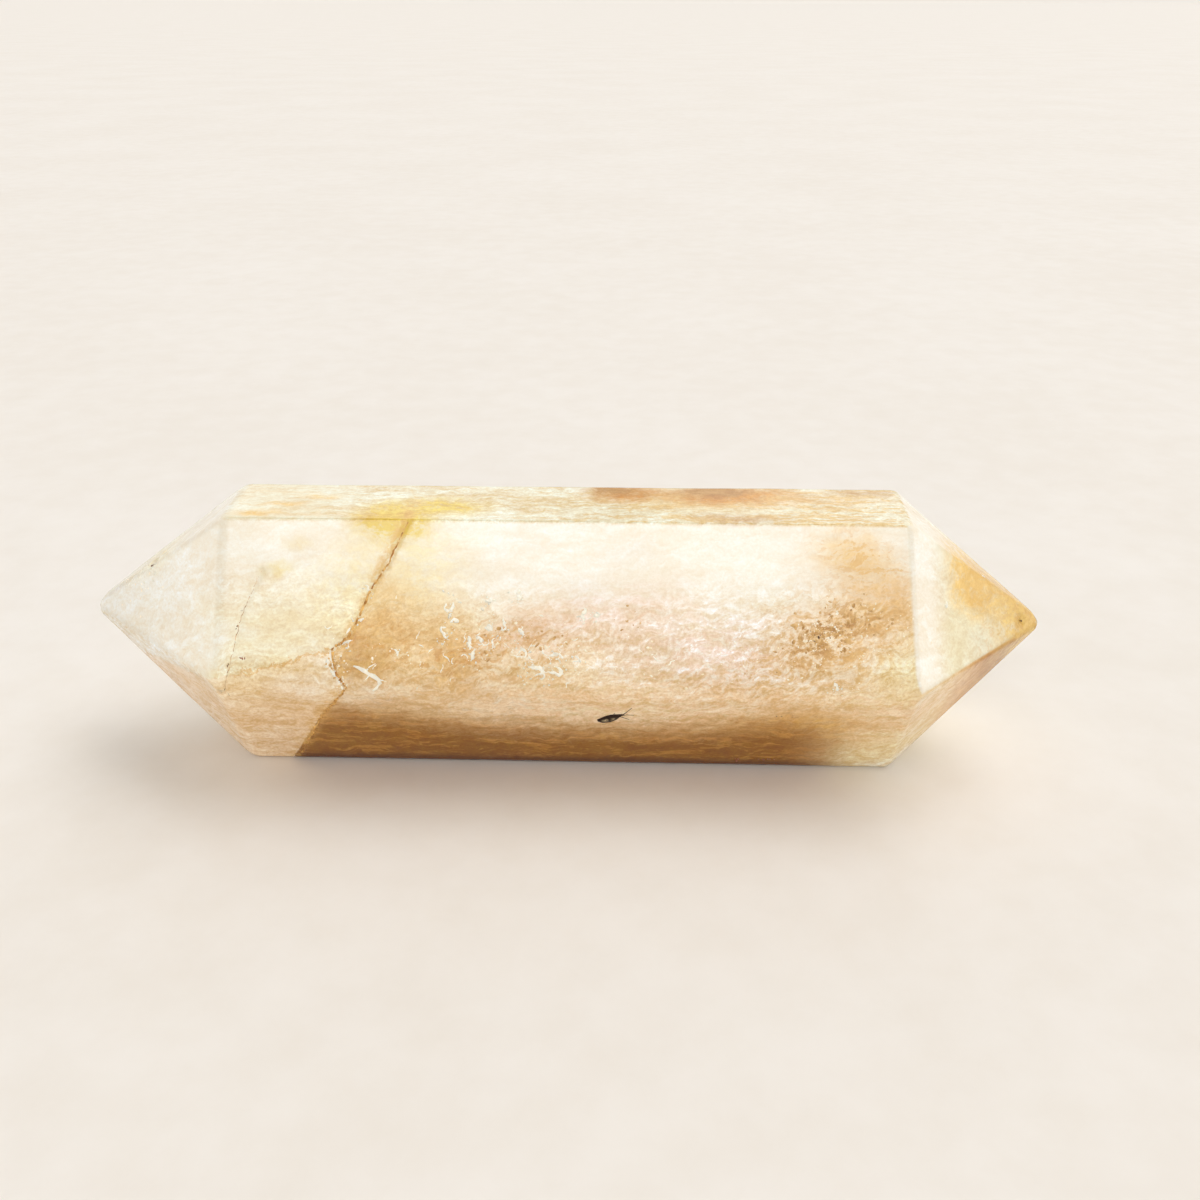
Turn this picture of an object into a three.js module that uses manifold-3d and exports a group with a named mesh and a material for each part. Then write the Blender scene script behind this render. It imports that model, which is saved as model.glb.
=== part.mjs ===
// A double-terminated citrine point lying on one of its long faces.
// Millimetres, +Z up. The stone's axis runs along X and the origin is the middle of the
// footprint of its bounding box, so the resting face is at z = 0 and the stone looks towards -Y.
//
// The solid is made the way the stone was cut: a block is ground flat by flat into six long
// sides, then six slanting facets at each end that meet in a tip, and last the edges and the
// two tips are rounded off by light passes on the wheel.
import * as THREE from "three";
import { mergeVertices } from "three/addons/utils/BufferGeometryUtils.js";
import Module from "manifold-3d";

const wasm = await Module();
wasm.setup();

// ---- driving dimensions ----

const LENGTH = 88; // from tip to tip, after the tips are rounded
const TIP_WEAR = 0.6; // what rounding takes off each sharp tip, along the axis
const DOME_WEAR = 0.43; // and what it takes off round the tip
const DOME_LEAN = 24; // degrees from the axis to the way the dome's ring of flats faces
const AXIS_HEIGHT = 12.8; // from the resting face up to the axis
const BLOCK_SPARE = 4; // saw allowance on the sides, ends and top of the block

// The long sides, in order round the stone. look: the way a side faces, in degrees, turning
// from +Y (the back) up to +Z (the top). apothem: its distance from the axis.
const SIDES = [
  { name: "top", look: 90, apothem: 11.55 },
  { name: "upper_front", look: 149.3, apothem: 9.35 },
  { name: "lower_front", look: 207.6, apothem: 10.6 },
  { name: "resting", look: 270, apothem: AXIS_HEIGHT },
  { name: "lower_back", look: 329.6, apothem: 10.25 },
  { name: "upper_back", look: 30.6, apothem: 9.5 },
];

// The two ends. way: +1 for the end at +X. tipBack and tipUp: where its tip lies beside the
// axis. shoulders: how far from the middle of the stone each facet meets its side, and skews:
// how many degrees that meeting edge leans, both in the order of SIDES.
const ENDS = [
  {
    way: 1,
    tipBack: 0.3,
    tipUp: 0,
    shoulders: [30.0, 30.3, 30.6, 30.2, 30.0, 30.4],
    skews: [-1.5, 3.0, 0.5, -2.0, 1.0, -1.5],
  },
  {
    way: -1,
    tipBack: 0.5,
    tipUp: 0.6,
    shoulders: [29.3, 29.2, 29.0, 29.4, 29.1, 29.5],
    skews: [1.5, -1.0, -1.0, 2.0, -1.5, 1.0],
  },
];

// Radii of the rounded edges.
const SIDE_EDGE_RADIUS = 1.6; // between two long sides
const SHOULDER_RADIUS = 0.9; // between a long side and its end facet
const RIDGE_RADIUS = 1.0; // between two end facets
const PASSES = [-0.67, -0.33, 0, 0.33, 0.67]; // where each pass lies across the half turn of an edge

// ---- planes ----

const radians = THREE.MathUtils.degToRad;

// A point given by its place along the stone, towards the back, and up from the axis.
const fromAxis = (along, back, up) => new THREE.Vector3(along, back, AXIS_HEIGHT + up);

// The unit vector a side looks in.
function lookOf(side) {
  return new THREE.Vector3(0, Math.cos(radians(side.look)), Math.sin(radians(side.look)));
}

// The plane of a long side.
function sidePlane(side) {
  const look = lookOf(side);
  const foot = fromAxis(0, look.y * side.apothem, look.z * side.apothem);
  return new THREE.Plane().setFromNormalAndCoplanarPoint(look, foot);
}

// The plane of the facet that runs from a side's shoulder to the tip of an end.
function facetPlane(side, end, shoulder, skew) {
  const look = lookOf(side);
  const onward = new THREE.Vector3(end.way, 0, 0);
  const foot = fromAxis(end.way * shoulder, look.y * side.apothem, look.z * side.apothem);
  const edge = new THREE.Vector3().crossVectors(look, onward).applyAxisAngle(look, radians(skew));
  const tip = fromAxis(end.way * (LENGTH / 2 + TIP_WEAR), end.tipBack, end.tipUp);
  const normal = new THREE.Vector3().crossVectors(edge, tip.sub(foot)).normalize();
  if (normal.dot(look) < 0) normal.negate();
  return new THREE.Plane().setFromNormalAndCoplanarPoint(normal, foot);
}

// ---- solids ----

// A closed three.js geometry as a solid that can be cut.
function solidFrom(geometry) {
  geometry.deleteAttribute("normal");
  geometry.deleteAttribute("uv");
  const merged = mergeVertices(geometry);
  const mesh = new wasm.Mesh({
    numProp: 3,
    vertProperties: merged.attributes.position.array,
    triVerts: new Uint32Array(merged.index.array),
  });
  return new wasm.Manifold(mesh);
}

// A finished solid as a three.js geometry with flat faces.
function geometryFrom(solid) {
  const { vertProperties, triVerts } = solid.getMesh();
  const indexed = new THREE.BufferGeometry();
  indexed.setAttribute("position", new THREE.BufferAttribute(new Float32Array(vertProperties), 3));
  indexed.setIndex(new THREE.BufferAttribute(new Uint32Array(triVerts), 1));
  const faceted = indexed.toNonIndexed();
  faceted.computeVertexNormals();
  return faceted;
}

// The sawn block. Its underside is already the resting face.
function sawBlock() {
  const length = LENGTH + 2 * BLOCK_SPARE;
  const side = 2 * AXIS_HEIGHT + BLOCK_SPARE;
  return solidFrom(new THREE.BoxGeometry(length, side, side).translate(0, 0, side / 2));
}

// Grinds away everything in front of a plane.
function grind(stone, plane) {
  const reach = 2 * LENGTH;
  const waste = new THREE.BoxGeometry(reach, reach, reach).translate(0, 0, reach / 2);
  waste.applyQuaternion(
    new THREE.Quaternion().setFromUnitVectors(new THREE.Vector3(0, 0, 1), plane.normal),
  );
  const foot = plane.coplanarPoint(new THREE.Vector3());
  return stone.subtract(solidFrom(waste.translate(foot.x, foot.y, foot.z)));
}

// How far the stone reaches in a direction.
function reachOf(stone, direction) {
  const { vertProperties } = stone.getMesh();
  const point = new THREE.Vector3();
  let furthest = -Infinity;
  for (let i = 0; i < vertProperties.length; i += 3) {
    furthest = Math.max(furthest, point.fromArray(vertProperties, i).dot(direction));
  }
  return furthest;
}

// The passes that round the edge between two flats of the sharp stone. Each touches the round
// of the given radius that is tangent to both flats.
function roundingPlanes(sharp, a, b, radius) {
  const middle = a.normal.clone().add(b.normal).normalize();
  const halfTurn = middle.angleTo(b.normal);
  const hinge = new THREE.Vector3().crossVectors(middle, b.normal).normalize();
  return PASSES.map((share) => {
    const turn = share * halfTurn;
    const way = middle.clone().applyAxisAngle(hinge, turn);
    const depth = radius * (Math.cos(turn) / Math.cos(halfTurn) - 1);
    return new THREE.Plane(way, depth - reachOf(sharp, way));
  });
}

// The passes that round a tip into a small dome.
function tipPlanes(sharp, end) {
  const onward = new THREE.Vector3(end.way, 0, 0);
  const flat = new THREE.Plane(onward, TIP_WEAR - reachOf(sharp, onward));
  const ring = SIDES.map((side) => {
    const hinge = new THREE.Vector3().crossVectors(onward, lookOf(side));
    const way = onward.clone().applyAxisAngle(hinge, radians(DOME_LEAN));
    return new THREE.Plane(way, DOME_WEAR - reachOf(sharp, way));
  });
  return [flat, ...ring];
}

function makeStone() {
  const sides = SIDES.map(sidePlane);
  const facets = ENDS.map((end) =>
    SIDES.map((side, i) => facetPlane(side, end, end.shoulders[i], end.skews[i])),
  );
  const flats = sides.filter((_, i) => SIDES[i].name !== "resting").concat(...facets);
  const sharp = flats.reduce(grind, sawBlock());

  const rounds = SIDES.flatMap((_, i) => {
    const next = (i + 1) % SIDES.length;
    return [
      ...roundingPlanes(sharp, sides[i], sides[next], SIDE_EDGE_RADIUS),
      ...facets.flatMap((ring) => [
        ...roundingPlanes(sharp, sides[i], ring[i], SHOULDER_RADIUS),
        ...roundingPlanes(sharp, ring[i], ring[next], RIDGE_RADIUS),
      ]),
    ];
  });
  const tips = ENDS.flatMap((end) => tipPlanes(sharp, end));
  return rounds.concat(tips).reduce(grind, sharp);
}

// ---- the part ----

const citrine = new THREE.MeshStandardMaterial({
  name: "citrine",
  color: new THREE.Color(0.87, 0.76, 0.6),
  roughness: 0.12,
  metalness: 0,
  transparent: true,
  opacity: 0.8,
});

const point = new THREE.Mesh(geometryFrom(makeStone()), citrine);
point.name = "citrine_point";

const part = new THREE.Group();
part.add(point);

export default part;
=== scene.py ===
"""A polished double-terminated citrine point: milky quartz, stained honey and brown, on a pale floor.

The stone is ground flat by flat out of a block, as the real one was. The healed cracks, white
flecks, grains and dark sliver in its skin are pieces of their own. Lengths are in millimetres
until a piece is finished, and angles are in degrees.
"""

import math
import random

import bmesh
import bpy
from mathutils import Matrix, Vector, noise
from mathutils.bvhtree import BVHTree
from mathutils.geometry import intersect_point_line


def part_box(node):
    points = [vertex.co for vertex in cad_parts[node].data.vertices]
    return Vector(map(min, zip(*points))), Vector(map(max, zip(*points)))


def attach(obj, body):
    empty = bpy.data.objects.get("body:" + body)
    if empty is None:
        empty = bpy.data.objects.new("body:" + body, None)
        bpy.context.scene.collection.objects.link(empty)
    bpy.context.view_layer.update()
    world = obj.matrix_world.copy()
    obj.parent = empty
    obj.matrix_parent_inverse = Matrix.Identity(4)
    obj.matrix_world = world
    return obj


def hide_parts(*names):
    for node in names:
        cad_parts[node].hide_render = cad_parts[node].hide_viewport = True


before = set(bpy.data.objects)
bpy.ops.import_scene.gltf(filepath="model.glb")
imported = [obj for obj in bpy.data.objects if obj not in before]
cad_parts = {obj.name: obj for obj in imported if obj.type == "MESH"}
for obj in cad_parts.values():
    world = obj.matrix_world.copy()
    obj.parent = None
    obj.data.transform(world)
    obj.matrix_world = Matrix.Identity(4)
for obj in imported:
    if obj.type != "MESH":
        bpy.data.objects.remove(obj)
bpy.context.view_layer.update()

NODE = "citrine_point"
BODY = "root"

LOW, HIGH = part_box(NODE)
LENGTH = 88.0  # of the stone
MM = (HIGH.x - LOW.x) / LENGTH  # one millimetre, in metres
HEIGHT = (HIGH.z - LOW.z) / MM
ALONG = Vector((1, 0, 0))

noise.seed_set(1)  # without it noise_vector gives other vectors on each run


# ---- the stone's flats ----

FLAT_COUNT = 18  # six sides, and six facets at each end
SIDE_LEAN = 0.1  # a side's normal leans along the stone by less than this
WELD = 0.001
SAME_FLAT = 0.3  # triangles that meet at less than this angle are one flat


def end_of(normal):
    """0 for a side, 1 for a facet of the +X end, -1 for one of the other end."""
    return 0 if abs(normal.x) < SIDE_LEAN else int(math.copysign(1, normal.x))


def facing(outward):
    """Which way something faces, from the back over the top: 90 is up and 180 is to the front."""
    return math.degrees(math.atan2(outward.z, outward.y)) % 360


def biggest_faces(bm):
    """The faces of a stone's mesh that are its flats."""
    return sorted(bm.faces, key=lambda face: -face.calc_area())[:FLAT_COUNT]


class Flat:
    """One of the stone's flats: a side, or a facet that runs to a tip."""

    def __init__(self, face):
        self.normal = face.normal.copy()
        self.middle = face.calc_center_median_weighted()
        self.end = end_of(self.normal)
        self.facing = facing(self.normal)


def read_flats():
    """The flats of the CAD solid, once its triangles are joined."""
    bm = bmesh.new()
    bm.from_mesh(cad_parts[NODE].data)
    bmesh.ops.scale(bm, vec=(1 / MM,) * 3, verts=bm.verts)
    bmesh.ops.remove_doubles(bm, verts=bm.verts, dist=WELD)
    bmesh.ops.dissolve_limit(bm, angle_limit=math.radians(SAME_FLAT), verts=bm.verts, edges=bm.edges)
    bm.normal_update()
    flats = [Flat(face) for face in biggest_faces(bm)]
    bm.free()
    return flats


FLATS = read_flats()


def flat_at(end, way):
    """The flat of one end, or the side, that faces most nearly one way."""
    return min([flat for flat in FLATS if flat.end == end], key=lambda flat: abs(flat.facing - way))


class Skin:
    """The finished stone's surface, on which everything in and on the stone is placed."""

    def __init__(self, bm):
        self.tree = BVHTree.FromBMesh(bm)

    def at(self, place, depth=0.0):
        """The nearest point of the skin, moved under it by depth, and how the skin lies there."""
        point, normal, _, _ = self.tree.find_nearest(Vector(place))
        along = (ALONG - normal * normal.x).normalized()
        return point - normal * depth, Matrix((along, normal.cross(along), normal)).transposed()


# ---- looks ----


class Shade:
    """A number, colour or vector that varies over a surface. Arithmetic on numbers adds Math nodes."""

    def __init__(self, look, socket):
        self.look = look
        self.socket = socket

    def maths(self, operation, *values):
        return self.look.node("ShaderNodeMath", {"operation": operation}, dict(enumerate(values)))

    def __add__(self, other):
        return self.maths("ADD", self, other)

    def __sub__(self, other):
        return self.maths("SUBTRACT", self, other)

    def __rsub__(self, other):
        return self.maths("SUBTRACT", other, self)

    def __mul__(self, other):
        return self.maths("MULTIPLY", self, other)

    __radd__ = __add__
    __rmul__ = __mul__

    def most(self, other):
        return self.maths("MAXIMUM", self, other)

    def least(self, other):
        return self.maths("MINIMUM", self, other)

    def whole(self):
        """Its size without its sign."""
        return self.maths("ABSOLUTE", self)

    def rise(self, low, high, start=0.0, stop=1.0):
        """start below low, stop above high, and a smooth change between."""
        settings = {"interpolation_type": "SMOOTHSTEP"}
        sockets = {"Value": self, "From Min": low, "From Max": high, "To Min": start, "To Max": stop}
        return self.look.node("ShaderNodeMapRange", settings, sockets)

    def fall(self, low, high, start=1.0):
        """start below low, 0 above high, and a smooth change between."""
        return self.rise(low, high, start, 0.0)

    def sway(self, reach):
        """A noise turned into a sway about 0."""
        return (self - 0.5) * reach

    def calmed(self, level, share):
        """The same, drawn towards one level by a share."""
        return self + (level - self) * share


class Look:
    """A material's or the room's nodes, and the coordinates that their patterns are drawn on."""

    def __init__(self, owner, coordinates="Object", scale=1 / MM):
        owner.use_nodes = True
        self.material = owner
        self.tree = owner.node_tree
        self.tree.nodes.clear()
        self.place = self.vector("SCALE", self.node("ShaderNodeTexCoord", output=coordinates), Scale=scale)

    def node(self, kind, settings=None, sockets=None, output=0):
        """Adds a node of any kind: its settings first, then its sockets, by name or by number."""
        made = self.tree.nodes.new(kind)
        for name, value in (settings or {}).items():
            setattr(made, name, value)
        for name, value in (sockets or {}).items():
            socket = made.inputs[name]
            if isinstance(value, Shade):
                self.tree.links.new(value.socket, socket)
            elif socket.type == "RGBA":
                socket.default_value = (*value, 1.0)
            else:
                socket.default_value = value
        return Shade(self, made.outputs[output])

    def vector(self, operation, *values, output=0, **sockets):
        sockets.update(enumerate(values))
        return self.node("ShaderNodeVectorMath", {"operation": operation}, sockets, output)

    def axes(self):
        """How far along X, Y and Z a point is, as three numbers."""
        return [self.node("ShaderNodeSeparateXYZ", None, {0: self.place}, output=i) for i in range(3)]

    def stretched(self, factors, place=None):
        return self.vector("MULTIPLY", place or self.place, factors)

    def grain(self, size, detail, roughness, place=None):
        """Noise around 0.5 whose lumps are about size across."""
        sockets = {
            "Vector": place or self.place, "Scale": 1 / size, "Detail": detail, "Roughness": roughness,
        }
        return self.node("ShaderNodeTexNoise", None, sockets)

    def patch(self, centre, size, lean, soft, place=None):
        """1 in an egg-shaped patch and 0 outside it. lean turns it, seen from the front."""
        sockets = {
            "Vector": place or self.place, "Location": centre,
            "Rotation": (0, -math.radians(lean), 0), "Scale": size,
        }
        inside = self.node("ShaderNodeMapping", {"vector_type": "TEXTURE"}, sockets)
        return self.vector("LENGTH", inside, output="Value").fall(1 - soft, 1.0)

    def on_flat(self, flat, edge=0.25):
        """1 on one of the stone's flats and 0 off it."""
        off = self.vector("SUBTRACT", self.place, flat.middle)
        return self.vector("DOT_PRODUCT", off, flat.normal, output="Value").rise(-edge, -0.3 * edge)

    def mix(self, share, first, second, way="MIX"):
        """first where share is 0, and second where it is 1."""
        settings = {"data_type": "RGBA", "blend_type": way}
        return self.node("ShaderNodeMix", settings, {0: share, 6: first, 7: second}, output=2)

    def tinted(self, colour, share, dark, light):
        """A colour multiplied by dark where share is 0 and by light where it is 1."""
        return self.mix(1.0, colour, self.mix(share, dark, light), "MULTIPLY")

    def show(self, kind="ShaderNodeOutputMaterial", **shaders):
        """Ends the nodes: shaders are the output's sockets, such as Surface and Volume."""
        out = self.tree.nodes.new(kind)
        for name, shader in shaders.items():
            self.tree.links.new(shader.socket, out.inputs[name])


def new_look(name):
    return Look(bpy.data.materials.new(name))


MILK = (0.93, 0.90, 0.85)
PALE = (0.95, 0.925, 0.88)
CREAM = (0.92, 0.82, 0.55)
STRAW = (0.79, 0.75, 0.575)
LEMON = (0.80, 0.60, 0.11)
HONEY = (0.84, 0.57, 0.17)
RUSSET = (0.70, 0.34, 0.06)
OCHRE = (0.77, 0.47, 0.145)
TAN = (0.84, 0.61, 0.35)
PEACH = (0.93, 0.70, 0.47)
ROSE = (0.88, 0.70, 0.60)
BROWN = (0.54, 0.29, 0.08)
# painted contact shadow: near-black brown for the line where the stone meets the floor
PAINTED_CONTACT_SHADOW = (0.17, 0.055, 0.004)
AMBER = (0.33, 0.14, 0.008)
WHITE = (0.97, 0.96, 0.93)

# The main crack is a colour boundary: these stains are only right of it. Each is a colour, its
# centre, its size, how it leans, how strong it is and how soft its rim is.
RIGHT_STAINS = [
    (PEACH, (6.0, -9.0, 9.0), (46.0, 9.0, 6.0), 0, 0.9, 0.7),
    (TAN, (-12.0, -9.0, 9.0), (11.0, 4.0, 3.4), -8, 0.8, 1.0),
    (TAN, (-8.0, -9.8, 14.4), (19.0, 7.0, 6.0), 5, 0.8, 0.9),
    (OCHRE, (-9.2, -9.9, 14.4), (3.8, 6.0, 5.0), 8, 0.75, 1.0),
    (OCHRE, (-16.0, -9.7, 15.0), (6.6, 5.0, 4.4), 25, 0.9, 1.0),
    (BROWN, (-17.2, -10.2, 14.2), (5.2, 4.0, 3.8), 25, 0.5, 1.0),
    (OCHRE, (-15.0, -7.6, 18.4), (4.4, 4.0, 3.0), 30, 0.45, 1.0),
    (RUSSET, (-3.4, -9.0, 15.9), (7.4, 5.0, 1.7), 10, 0.6, 1.0),
    (OCHRE, (6.6, -8.0, 17.6), (3.4, 4.0, 1.3), 8, 0.6, 1.0),
    (ROSE, (3.0, -8.4, 17.3), (14.0, 6.0, 4.0), 10, 0.7, 1.0),
    (OCHRE, (21.0, -8.8, 6.8), (10.5, 6.0, 5.4), 6, 0.9, 1.0),
]
# Left of the crack: the peach foot with its sharp, wavy border is drawn apart.
LEFT_STAINS = [
    (CREAM, (-22.0, -8.4, 18.0), (9.0, 6.0, 6.0), 20, 0.4, 1.0),
    (LEMON, (-24.4, -6.3, 20.4), (2.6, 3.0, 1.0), 12, 0.45, 1.0),
    (LEMON, (-22.6, -5.2, 22.4), (2.2, 3.0, 0.8), 6, 0.3, 1.0),
]
STAINS = [
    (CREAM, (-15.0, -7.0, 19.0), (12.0, 8.0, 8.0), 40, 1.2, 1.0),
    (HONEY, (-13.0, -8.6, 17.0), (7.0, 6.0, 5.0), 40, 0.3, 1.0),
    (ROSE, (12.5, -9.8, 14.2), (17.0, 7.0, 6.4), 0, 0.9, 0.9),
    (TAN, (25.5, -8.6, 16.2), (11.0, 7.0, 7.4), 25, 1.0, 0.9),
    (OCHRE, (28.0, -7.4, 18.6), (6.0, 4.0, 3.2), 15, 0.55, 1.0),
    (OCHRE, (22.8, -9.0, 16.0), (6.6, 5.0, 3.0), 28, 0.5, 1.0),
    (HONEY, (25.0, -5.4, 22.2), (6.6, 5.0, 3.4), -15, 0.6, 1.0),
    (OCHRE, (25.6, -5.6, 21.8), (6.0, 5.0, 3.0), -15, 0.4, 1.0),
    (CREAM, (29.4, -9.8, 13.2), (4.0, 4.0, 3.6), 0, 0.8, 0.9),
    (TAN, (22.0, -8.8, 7.0), (14.0, 6.0, 9.0), 0, 1.0, 1.0),
    # lemon, honey and brown along the top
    (LEMON, (-14.4, -3.2, 24.1), (5.2, 4.6, 3.0), 0, 1.7, 1.0),
    (LEMON, (-10.4, -1.0, 24.4), (6.0, 3.2, 1.4), 0, 1.2, 1.0),
    (HONEY, (-26.4, -2.9, 24.4), (3.6, 1.2, 1.2), 0, 0.9, 1.0),
    (HONEY, (-24.3, -1.0, 24.4), (3.4, 1.2, 1.2), 0, 0.9, 1.0),
    (HONEY, (-21.9, 0.8, 24.4), (3.2, 1.2, 1.2), 0, 0.9, 1.0),
    (HONEY, (12.0, 1.0, 24.4), (12.0, 4.2, 1.4), 0, 0.6, 1.0),
    (OCHRE, (17.6, 2.0, 24.4), (7.0, 3.6, 1.4), 0, 0.6, 1.0),
    (OCHRE, (24.6, 1.6, 24.4), (8.0, 3.0, 1.4), 0, 0.5, 1.0),
    (RUSSET, (5.4, 2.2, 24.4), (5.6, 3.2, 1.6), 0, 1.1, 1.0),
    (BROWN, (4.6, 3.0, 24.4), (3.6, 1.7, 1.4), 0, 1.2, 0.9),
    (RUSSET, (15.0, 2.0, 24.4), (8.6, 3.4, 1.6), 0, 1.2, 1.0),
    (BROWN, (13.8, 2.9, 24.4), (5.4, 1.8, 1.4), 0, 1.4, 0.9),
    (BROWN, (15.0, -3.2, 24.4), (5.4, 1.6, 0.7), 0, 0.9, 1.0),
    (BROWN, (27.0, 3.0, 24.2), (4.4, 1.8, 1.2), 0, 0.8, 1.0),
    # right end: honey in the facet, brown below it and at the tip
    (HONEY, (37.0, -2.4, 18.6), (6.6, 8.0, 5.0), -38, 1.3, 1.0),
    (HONEY, (42.6, -0.8, 14.6), (7.4, 8.0, 7.4), 0, 1.3, 1.0),
    (OCHRE, (41.6, 0.6, 17.0), (7.0, 6.0, 3.0), -40, 0.75, 1.0),
    (OCHRE, (36.8, -2.8, 18.6), (5.2, 6.0, 3.6), -38, 0.5, 1.0),
    # the left end: warmer under its ridge and over the top
    (TAN, (-33.6, -6.6, 8.2), (8.0, 6.0, 5.0), 40, 0.75, 1.0),
    (CREAM, (-37.0, 0.0, 19.4), (5.6, 5.0, 3.0), 35, 0.7, 1.0),
    # the back and the underside
    (PEACH, (-2.0, 9.0, 8.0), (40.0, 8.0, 8.0), 0, 0.7, 0.9),
    (TAN, (12.0, 9.0, 11.0), (24.0, 7.0, 7.0), 8, 0.9, 1.0),
    (ROSE, (-18.0, 10.0, 14.0), (14.0, 6.0, 5.0), -6, 0.8, 1.0),
    (OCHRE, (-4.0, 7.6, 18.6), (12.0, 6.0, 3.4), 12, 0.7, 1.0),
    (HONEY, (26.0, 8.4, 15.0), (9.0, 6.0, 4.0), -14, 0.6, 1.0),
]


def main_crack_at(z):
    """Where along the stone the main crack is, by height: it leans, stands up at the edge, and leans."""
    above_edge = (z - 13.9).most(0.0)
    below_edge = (z - 11.6).least(0.0)
    return above_edge * 0.53 + below_edge * 0.60 - 18.8


class Quartz:
    """The stone's look in the making: the noises its colours are cut from, and the zones they fill."""

    def __init__(self):
        self.look = new_look("polished_quartz")
        self.x, self.y, self.z = self.look.axes()
        self.add_noises()
        self.add_zones()

    def add_noises(self):
        look = self.look
        swirl = look.node("ShaderNodeTexNoise", None, {
            "Vector": look.place, "Scale": 0.3, "Detail": 2.0, "Roughness": 0.65,
        }, output="Color")
        drift = look.vector("SCALE", look.vector("SUBTRACT", swirl, (0.5, 0.5, 0.5)), Scale=2.3)
        self.wander = look.vector("ADD", look.place, drift)
        slanted = look.node("ShaderNodeMapping", {"vector_type": "TEXTURE"}, {
            "Vector": self.wander, "Rotation": (0, math.radians(-24), 0), "Scale": (2.2, 1.2, 1.0),
        })
        long_and_thin = look.stretched((0.13, 1, 1), self.wander)
        drawn_out = look.stretched((0.38, 1, 1), self.wander)
        self.clouds = look.grain(9.0, detail=3, roughness=0.6, place=look.stretched((0.5, 1, 1)))
        self.streaks = look.grain(0.8, detail=5, roughness=0.72, place=long_and_thin)
        self.curds = look.grain(0.9, detail=4, roughness=0.75, place=self.wander)
        self.wisps = look.grain(2.6, detail=4, roughness=0.7, place=drawn_out)
        self.strokes = look.grain(0.5, detail=3, roughness=0.7, place=slanted)
        self.sugar = look.grain(0.24, detail=2, roughness=0.7)
        self.ripple = look.grain(0.8, detail=4, roughness=0.75)
        self.grit = self.curds * 0.5 + self.streaks * 0.5
        self.crumb = self.curds * 0.5 + self.strokes * 0.5
        self.mottle = self.grit.rise(0.36, 0.64, 0.5, 1.4)

    def add_zones(self):
        look = self.look
        self.front = self.y.fall(-3.0, 3.0)
        self.top = self.z.rise(24.05, 24.3)
        self.facet = look.on_flat(flat_at(1, 150))
        self.low_facet = look.on_flat(flat_at(1, 208))
        self.left_facet = look.on_flat(flat_at(-1, 150))
        self.body = 1 - (self.facet + self.low_facet).least(1.0)
        # white against the right shoulder, sharp there and soft towards the tip
        self.band = (self.x + self.z * 0.06).fall(32.6, 35.2) * self.facet
        # the main crack parts two colours at the front, and fades into the stone behind
        self.gap = self.x - main_crack_at(self.z) + self.curds.sway(0.5)
        sharp = self.gap.rise(-0.08, 0.12) * self.front
        self.right_of_crack = sharp + self.gap.rise(-6.0, 9.0) * (1 - self.front)

    def mix(self, share, first, second):
        return self.look.mix(share, first, second)

    def patch(self, centre, size, lean, soft=0.9):
        return self.look.patch(centre, size, lean, soft)

    def stained(self, colour, stains):
        """Lays stains over a colour, broken up by the quartz's grit."""
        for tint, centre, size, lean, strength, soft in stains:
            spread = self.look.patch(centre, size, lean, soft, self.wander)
            colour = self.mix(spread * self.mottle * strength, colour, tint)
        return colour

    def body_colour(self):
        """White and cream milk with its stains, before the main crack parts it."""
        x, z = self.x, self.z
        colour = self.mix(self.clouds.rise(0.35, 0.65), MILK, CREAM)
        # whiter towards the top: partly the milk's own white, partly a painted sheen
        colour = self.mix(z.rise(15.5, 20.0) * 0.85, colour, MILK)
        colour = self.mix(self.top * 0.8, colour, STRAW)
        veins = self.top * self.streaks.fall(0.42, 0.54, 0.7)
        colour = self.mix(veins * x.rise(-6.0, 14.0, 0.3, 0.8), colour, HONEY)
        colour = self.mix(x.fall(-36.0, -26.0, 0.9), colour, PALE)
        colour = self.mix(self.facet * 0.7, colour, STRAW)
        colour = self.mix(self.low_facet * x.rise(31.0, 37.0, 0.25, 0.9), colour, OCHRE)
        colour = self.mix(self.low_facet * x.rise(33.0, 38.0), colour, RUSSET)
        colour = self.mix(self.low_facet * x.rise(34.0, 41.0) * 0.55, colour, AMBER)
        return self.stained(colour, STAINS)

    def left_colour(self, colour):
        """Left of the main crack: a peach foot with a wavy ochre border."""
        border = (self.x + 24.6) * 0.24 + 13.4 + self.curds.sway(2.2)
        over_foot = self.z - border
        foot = over_foot.fall(-0.12, 0.12) * self.front
        colour = self.stained(colour, LEFT_STAINS)
        colour = self.mix(foot * (0.42 + self.z.fall(8.0, 13.0, 0.48)), colour, PEACH)
        rim = over_foot.whole().fall(0.05, 0.25, 0.7) * self.front * self.x.rise(-29.0, -27.0)
        return self.mix(rim * self.streaks.rise(0.4, 0.5), colour, OCHRE)

    def right_colour(self, colour):
        """Right of the main crack: amber gathers in the foot, deepened towards the bottom by painted shade,
        with a painted contact shadow at the bottom edge; all fades before the right shoulder.
        """
        x, z = self.x, self.z
        under = x.fall(19.0, 28.0)
        shore = x.rise(-19.0, -4.0, 9.6, 7.2) + x.rise(12.0, 19.0, 0.0, 1.2)
        sunk = shore - z - self.grit.sway(5.0)
        streaked = sunk.rise(-1.0, 3.0) * self.streaks.rise(0.5, 0.6, 0.0, 0.4)
        colour = self.stained(colour, RIGHT_STAINS)
        # darker towards the bottom: brown and amber stain, deepened near the floor as painted shade
        colour = self.mix(sunk.rise(-1.5, 2.0, 0.0, 0.85) * under, colour, BROWN)
        colour = self.mix(sunk.rise(0.5, 4.4) * under, colour, AMBER)
        colour = self.mix(streaked * under, colour, RUSSET)
        # painted contact shadow: a dark line along the front's bottom edge, where the stone meets the floor
        return self.mix(z.fall(0.5, 1.7) * self.front * under, colour, PAINTED_CONTACT_SHADOW)

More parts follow.
